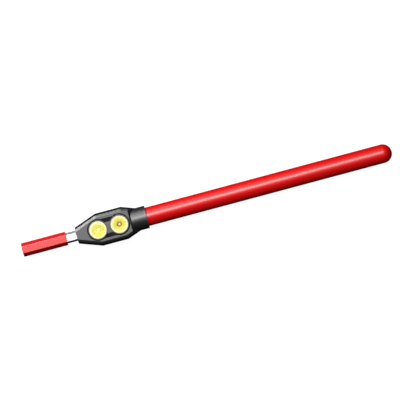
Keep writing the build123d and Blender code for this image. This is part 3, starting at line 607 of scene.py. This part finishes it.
for lamp, facets, strength in (("flood", 48, 0.94), ("spot", 96, 0.98)):
    low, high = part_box(f"{lamp}_reflector")
    seat_radius = (high.y - low.y) / 2
    bowl_rim = seat_radius - SEAT_WIDTH
    bowl_bottom = low.z + BOWL_LIFT
    seat_top = high.z - SEAT_DROP
    rise = (seat_top - bowl_bottom) / (bowl_rim**2 - BOWL_BASE**2)
    radii = [BOWL_BASE + (bowl_rim - BOWL_BASE) * k / BOWL_STEPS for k in range(BOWL_STEPS + 1)]
    inside = [(bowl_bottom + rise * (r**2 - BOWL_BASE**2), r) for r in radii]
    outside = [(z - BOWL_WALL, r) for z, r in reversed(inside)]
    bowl_profile = [
        (low.z, BOWL_BASE),
        *inside,
        (seat_top, seat_radius),
        (seat_top - BOWL_WALL, seat_radius),
        *outside[:-1],
        (bowl_bottom - BOWL_HEEL, BOWL_BASE + BOWL_WALL),
        (low.z, BOWL_BASE + BOWL_WALL),
    ]
    bowl = make_piece(
        f"{lamp}_bowl",
        turned(bowl_profile, above(lamp), around=facets),
        "housing",
        [f"{lamp}_reflector"],
        sharp=20.0,
    )
    centre = lamp_parts[lamp]["centre"]
    metallised = lit_bowl(f"metallised plastic, {lamp} lit", centre, bowl_rim, BOWL_LIGHT[lamp], strength)
    bowl.data.materials.append(metallised)

# Emitters: a ceramic base with a phosphor pad under a moulded silicone dome, soldered to the star
# board. Lit, the dome is white hot. The spot's amber base is given a dim painted glow of the emitter's
# light, so it reads as a brown ring round it, and the flood's white base glows yellow behind the ribs.

BORE = 0.2 * MM  # at the base's axis, under the dome
FOOT_LENGTH, FOOT_INSET = 0.15 * MM, 0.1 * MM  # chamfer of the base's foot
BASE_CHAMFER = 0.3 * MM
LED_AROUND = 48
LED_STEPS = 12
silicone, _, _ = new_material(
    "silicone dome over phosphor",
    Base_Color=srgb("#fff6c8"),
    Roughness=0.12,
    IOR=1.43,
    Emission_Color=srgb("#fffbe8"),
    Emission_Strength=0.95,
)
# painted light: the amber base's emission paints the emitter's light on it, so it reads as a brown ring
amber_ceramic_lit = plastic(
    "amber ceramic base, lit",
    "#8a6420",
    "#7a5616",
    roughness=0.5,
    grain_mm=0.3,
    depth_mm=0.01,
    IOR=1.6,
    Emission_Color=srgb("#76600e"),
    Emission_Strength=1.0,
)
lit_ceramic = plastic(
    "white ceramic base, lit",
    "#e8e0a0",
    "#e0d894",
    roughness=0.5,
    grain_mm=0.3,
    depth_mm=0.01,
    IOR=1.6,
    Emission_Color=srgb("#e6dc30"),
    Emission_Strength=0.9,
)
for lamp, under_dome, dome_radius in (("flood", lit_ceramic, 2.5 * MM), ("spot", amber_ceramic_lit, 1.9 * MM)):
    low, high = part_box(f"{lamp}_emitter")
    base_radius = (high.y - low.y) / 2
    dome_foot = high.z - dome_radius
    base_profile = [
        (low.z, BORE),
        (low.z, base_radius - FOOT_INSET),
        (low.z + FOOT_LENGTH, base_radius),
        (dome_foot - BASE_CHAMFER, base_radius),
        (dome_foot, base_radius - BASE_CHAMFER),
        (dome_foot, BORE),
    ]
    base_shape = turned(base_profile, above(lamp), around=LED_AROUND)
    base = make_piece(f"{lamp}_led_base", base_shape, "housing")
    base.data.materials.append(under_dome)
    dome_profile = [(dome_foot, 0.0), *arc((dome_foot, 0), dome_radius, 90, 0, LED_STEPS)]
    dome_shape = turned(dome_profile, above(lamp), closed=False, around=LED_AROUND)
    dome = make_piece(f"{lamp}_led_dome", dome_shape, "housing", [f"{lamp}_emitter"])
    dome.data.materials.append(silicone)

# Lenses: discs moulded in clear polycarbonate with a slight crown, and held by the bezels. The flood's
# inner face is moulded in ribs across the baton, which smear its emitter into a soft glow; the spot's is
# polished and clear.

RIB_PITCH = 2.4 * MM
RIB_DEPTH = 0.45 * MM
RIB_INSET = 1.4 * MM  # of the ribs' ends from the lens's edge
CROWN_INSET = 1.1 * MM  # of the crown's foot from the lens's edge
LENS_CHAMFER = 0.15 * MM
FACE_RINGS, CROWN_RINGS = 24, 10
SAME_PLANE = 0.01 * MM
lens_clear, _, _ = new_material(
    "clear polycarbonate, polished",
    Base_Color=srgb("#fffef2"),
    Roughness=0.03,
    IOR=1.586,
    Transmission_Weight=1.0,
)
lens_ribbed, _, _ = new_material(
    "clear polycarbonate, ribbed",
    Base_Color=srgb("#fffbe0"),
    Roughness=0.42,
    IOR=1.586,
    Transmission_Weight=1.0,
)
for lamp, glass in (("flood", lens_ribbed), ("spot", lens_clear)):
    low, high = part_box(f"{lamp}_lens")
    lens_radius = (high.y - low.y) / 2
    rim_top = low.z + LENS_RIM
    crown = high.z - rim_top
    crown_edge = lens_radius - CROWN_INSET
    crown_radii = [crown_edge * (1 - k / CROWN_RINGS) for k in range(CROWN_RINGS + 1)]
    lens_profile = [
        *((low.z, lens_radius * k / FACE_RINGS) for k in range(FACE_RINGS)),
        (low.z, lens_radius - LENS_CHAMFER),
        (low.z + LENS_CHAMFER, lens_radius),
        (rim_top - LENS_CHAMFER, lens_radius),
        (rim_top, lens_radius - LENS_CHAMFER),
        *((rim_top + crown * (1 - (r / crown_edge) ** 2), r) for r in crown_radii),
    ]
    disc = turned(lens_profile, above(lamp), closed=False)
    if lamp == "flood":
        inner_face = [v for v in disc.verts if v.co.z < low.z + SAME_PLANE]
        for vertex in inner_face:
            offset = vertex.co - lamp_parts[lamp]["centre"]
            if offset.xy.length < lens_radius - RIB_INSET:
                vertex.co.z += RIB_DEPTH * (1 - math.cos(math.tau * offset.x / RIB_PITCH)) / 2
    lens = make_piece(f"{lamp}_lens_disc", disc, "housing", [f"{lamp}_lens"], sharp=50.0)
    lens.data.materials.append(glass)

# ---- Hand grip -----------------------------------------------------------------------------------------
# Hexagonal sleeve injection-moulded in red ABS, slid over the bar and held by one socket screw in its
# end. Its long edges are rounded by the tool, and the flats are smooth with a satin gloss.

FLATS = 6
EDGE_ROUND = 0.8 * MM
CLOSED_END_ROUND, OPEN_END_ROUND = 1.5 * MM, 0.4 * MM
SOCKET_RADIUS, SOCKET_DEPTH = 4.8 * MM, 5.0 * MM  # for the screw, in the closed end
POCKET_DEPTH = 12.0 * MM  # for the bar, in the open end
BAR_CUT = 4.2 * MM  # of the bar's section at each corner, along its sides
MOUTH_POINTS = 36
FACES_END = 0.99  # cosine past which a face closes an end
low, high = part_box("grip_sleeve")
flat_radius = (high.z - low.z) / 2
corner_radius = flat_radius / math.cos(math.pi / FLATS)
grip_length = high.x - low.x
bar_low, bar_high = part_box("handle_bar")
across = Matrix.Rotation(math.pi / 2, 4, "Y")


def screw_mouth(direction):
    """Point of the screw socket's edge in a direction from the grip's axis."""
    return direction * SOCKET_RADIUS


def bar_mouth(direction):
    """Point of the bar's outline in a direction from its axis: a rectangle with its corners cut."""
    half_y, half_z = (bar_high.y - bar_low.y) / 2, (bar_high.z - bar_low.z) / 2
    y, z = abs(direction.y), abs(direction.z)
    return direction / max(y / half_y, z / half_z, (y + z) / (half_y + half_z - BAR_CUT))


grip_mesh = bmesh.new()
bmesh.ops.create_circle(
    grip_mesh,
    cap_ends=True,
    segments=FLATS,
    radius=corner_radius,
    matrix=Matrix.Translation((low.x, 0, axis_z)) @ across,
)
grown = bmesh.ops.extrude_face_region(grip_mesh, geom=grip_mesh.faces[:])
far_end = [v for v in grown["geom"] if isinstance(v, bmesh.types.BMVert)]
bmesh.ops.translate(grip_mesh, vec=(grip_length, 0, 0), verts=far_end)
bmesh.ops.recalc_face_normals(grip_mesh, faces=grip_mesh.faces)
long_edges = [e for e in grip_mesh.edges if abs(e.verts[0].co.x - e.verts[1].co.x) > grip_length / 2]
bmesh.ops.bevel(
    grip_mesh, geom=long_edges, offset=EDGE_ROUND, segments=3, profile=0.5, affect="EDGES", material=-1
)
for end, size in ((low.x, CLOSED_END_ROUND), (high.x, OPEN_END_ROUND)):
    rim = [e for e in grip_mesh.edges if all(abs(v.co.x - end) < SAME_POINT for v in e.verts)]
    bmesh.ops.bevel(grip_mesh, geom=rim, offset=size, segments=3, profile=0.5, affect="EDGES", material=-1)
for end, mouth, depth in ((low.x, screw_mouth, SOCKET_DEPTH), (high.x, bar_mouth, -POCKET_DEPTH)):
    caps = [f for f in grip_mesh.faces if abs(f.normal.x) > FACES_END]
    cap = min(caps, key=lambda face: abs(face.calc_center_median().x - end))
    bmesh.ops.delete(grip_mesh, geom=[cap], context="FACES_ONLY")
    open_edges = [e for e in grip_mesh.edges if e.is_boundary]
    rim = [e for e in open_edges if all(abs(v.co.x - end) < SAME_POINT for v in e.verts)]
    hole = bmesh.ops.create_circle(
        grip_mesh,
        cap_ends=False,
        segments=MOUTH_POINTS,
        radius=1.0,
        matrix=Matrix.Translation((end, 0, axis_z)) @ across,
    )["verts"]
    middle = Vector((end, 0, axis_z))
    for vertex in hole:
        vertex.co = middle + mouth(vertex.co - middle)
    hole_edges = list({e for v in hole for e in v.link_edges})
    bmesh.ops.bridge_loops(grip_mesh, edges=rim + hole_edges)
    inward = bmesh.ops.extrude_edge_only(grip_mesh, edges=hole_edges)
    deep = [v for v in inward["geom"] if isinstance(v, bmesh.types.BMVert)]
    bmesh.ops.translate(grip_mesh, vec=(depth, 0, 0), verts=deep)
    bmesh.ops.contextual_create(grip_mesh, geom=deep)
bmesh.ops.recalc_face_normals(grip_mesh, faces=grip_mesh.faces)
grip = make_piece("hex_grip", grip_mesh, "housing", ["grip_sleeve"], sharp=10.0)
abs_red = plastic(
    "red ABS, moulded",
    "#d40a12",
    "#c80810",
    roughness=0.38,
    grain_mm=0.9,
    depth_mm=0.012,
    worn="#f04048",
    IOR=1.54,
    Coat_Weight=1.0,
    Coat_Roughness=0.4,
)
grip.data.materials.append(abs_red)

# ---- Handle bar and heat sink --------------------------------------------------------------------------
# The bar is extruded aluminium, brushed lengthways and clear-anodised: bright, with streaks that stretch
# its reflections across it, drawn wider than real ones so that they show. The heat sink is die-cast and
# left rough, which makes it a dull, grainy grey. Screws hold both in the housing.

GLOSS_LEAST, GLOSS_MOST = 0.8, 1.25  # of a metal's roughness, across its streaks


def bare_metal(name, colour, roughness, streak_mm, depth_mm, stretch=(1, 1, 1)):
    """Metal with streaks or cast grain; streaks run along the axis whose stretch is least."""
    material, tree, surface = new_material(name, Metallic=1.0, Base_Color=srgb(colour))
    place = add_node(tree, "ShaderNodeTexCoord").outputs["Object"]
    drawn = add_node(tree, "ShaderNodeMapping", {"Vector": place, "Scale": stretch}).outputs["Vector"]
    streaks = add_node(
        tree, "ShaderNodeTexNoise", {"Vector": drawn, "Scale": 1 / (streak_mm * MM), "Detail": 3.0}
    ).outputs["Fac"]
    gloss = add_node(
        tree,
        "ShaderNodeMapRange",
        {"Value": streaks, "To Min": roughness * GLOSS_LEAST, "To Max": roughness * GLOSS_MOST},
    ).outputs["Result"]
    bump = add_node(
        tree, "ShaderNodeBump", {"Height": streaks, "Strength": 1.0, "Distance": depth_mm * MM}
    ).outputs["Normal"]
    tree.links.new(gloss, surface.inputs["Roughness"])
    tree.links.new(bump, surface.inputs["Normal"])
    return material


brushed = bare_metal(
    "aluminium, brushed and anodised",
    "#eceded",
    roughness=0.34,
    streak_mm=0.35,
    depth_mm=0.004,
    stretch=(0.02, 1, 1),
)
refinish(["handle_bar"], brushed)
die_cast = bare_metal("aluminium, die-cast", "#a9abb0", roughness=0.5, streak_mm=0.6, depth_mm=0.05)
refinish(["heat_sink"], die_cast)

# ---- Fasteners, hinge pin and lock ---------------------------------------------------------------------
# Cold-formed steel screws, a ground hinge pin and a turned quarter-turn lock, all with bright zinc
# plating. It is a little blue and lightly clouded.

zinc = bare_metal("steel, zinc-plated", "#b9bec6", roughness=0.28, streak_mm=0.8, depth_mm=0.006)
refinish(
    [
        "shell_screws",
        "bar_screws",
        "grip_screw",
        "heat_sink_screws",
        "board_screws",
        "switch_board_screws",
        "hinge_pin",
        "door_lock",
    ],
    zinc,
)

# ---- Buttons -------------------------------------------------------------------------------------------
# Caps moulded in black silicone rubber, which is soft and matt, over compression springs of steel wire.
# The springs and the battery contacts are nickel-plated: bright, and a little warmer than zinc.

silicone_black = plastic(
    "black silicone rubber, moulded",
    "#2a2a2d",
    "#242427",
    roughness=0.6,
    grain_mm=0.4,
    depth_mm=0.02,
    IOR=1.41,
)
refinish(["wand_button", "lamp_button"], silicone_black)
nickel = bare_metal("steel, nickel-plated", "#cdc9bd", roughness=0.2, streak_mm=0.8, depth_mm=0.004)
refinish(["wand_button_spring", "lamp_button_spring", "contact_springs", "contact_plates"], nickel)

# ---- Cells ---------------------------------------------------------------------------------------------
# Steel cans in blue PVC shrink-wrap, laid side by side and head to tail between the contacts. The wrap
# is glossy, and slightly rippled where it shrank.

wrap = plastic(
    "blue PVC shrink-wrap",
    "#1c4fa8",
    "#174491",
    roughness=0.25,
    grain_mm=6.0,
    depth_mm=0.05,
    IOR=1.53,
)
refinish(["cell_1", "cell_2"], wrap)

# ---- Boards and wiring ---------------------------------------------------------------------------------
# Glass-fibre boards under glossy green solder mask, with components moulded in dull black epoxy and LEDs
# in shiny red packages. The spacers are waxy white nylon, and the wires have extruded red PVC sleeves with
# a soft shine.

FINISHES = (
    # nodes, then their material: name, colour, drift, roughness, grain in mm, its depth in mm, IOR
    (
        ("driver_board", "switch_board", "wand_board", "flood_star", "spot_star"),
        ("green solder mask on glass-fibre", "#0f5a2c", "#0c4d25", 0.32, 0.9, 0.02, 1.5),
    ),
    (
        ("driver_parts",),
        ("black moulding epoxy", "#202022", "#29292b", 0.55, 0.3, 0.02, 1.55),
    ),
    (
        ("board_standoffs", "base_plug", "wand_spacers"),
        ("white nylon, moulded", "#e9e7df", "#dedcd2", 0.4, 0.8, 0.02, 1.53),
    ),
    (
        ("flood_leads", "spot_leads", "battery_leads", "switch_leads", "wand_leads"),
        ("red PVC insulation", "#c21418", "#ab1014", 0.38, 0.8, 0.01, 1.53),
    ),
    (
        ("wand_leds_front", "wand_leds_back"),
        ("red LED package", "#d8362e", "#c22a24", 0.2, 0.5, 0.005, 1.5),
    ),
)
for parts, (*finish, ior) in FINISHES:
    refinish(parts, plastic(*finish, IOR=ior))
